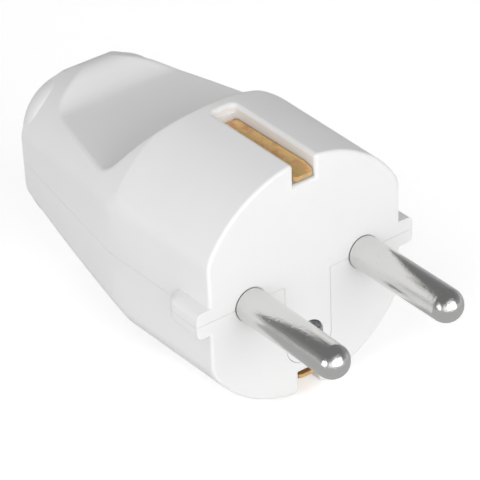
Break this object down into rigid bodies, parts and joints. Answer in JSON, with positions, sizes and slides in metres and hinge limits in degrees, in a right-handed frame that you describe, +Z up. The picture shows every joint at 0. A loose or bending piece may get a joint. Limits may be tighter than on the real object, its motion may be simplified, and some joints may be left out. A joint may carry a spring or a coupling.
{
  "type": "mains plug",
  "caption": "Rewirable type F mains plug with a two-half moulded housing, scooped finger grips, round pins and side earth contacts; no cord fitted.",
  "frame": {"origin": "middle of the engagement face, halfway between the pins, on the seam of the shells", "axes": "-Y along the pins, +Y back towards the cord mouth, +X from the line pin to the neutral pin, +Z up"},
  "size_m": [0.0364, 0.0707, 0.0368],
  "materials": {
    "housing_plastic": "satin white moulding",
    "pin_nickel": "bright nickel plate",
    "earth_brass": "stamped, slightly tarnished",
    "screw_steel": "dull zinc plate",
    "clamp_plastic": "satin moulding"
  },
  "bodies": {
    "root": {"upper_shell": "housing_plastic", "lower_shell": "housing_plastic", "line_pin": "pin_nickel", "neutral_pin": "pin_nickel", "terminal_screws": "screw_steel", "earth_bracket": "earth_brass", "earth_screw": "screw_steel", "earth_washer": "screw_steel", "cord_clamp": "clamp_plastic", "cord_clamp_screws": "screw_steel", "assembly_screw": "screw_steel", "assembly_nut": "screw_steel"}
  },
  "joints": []
}
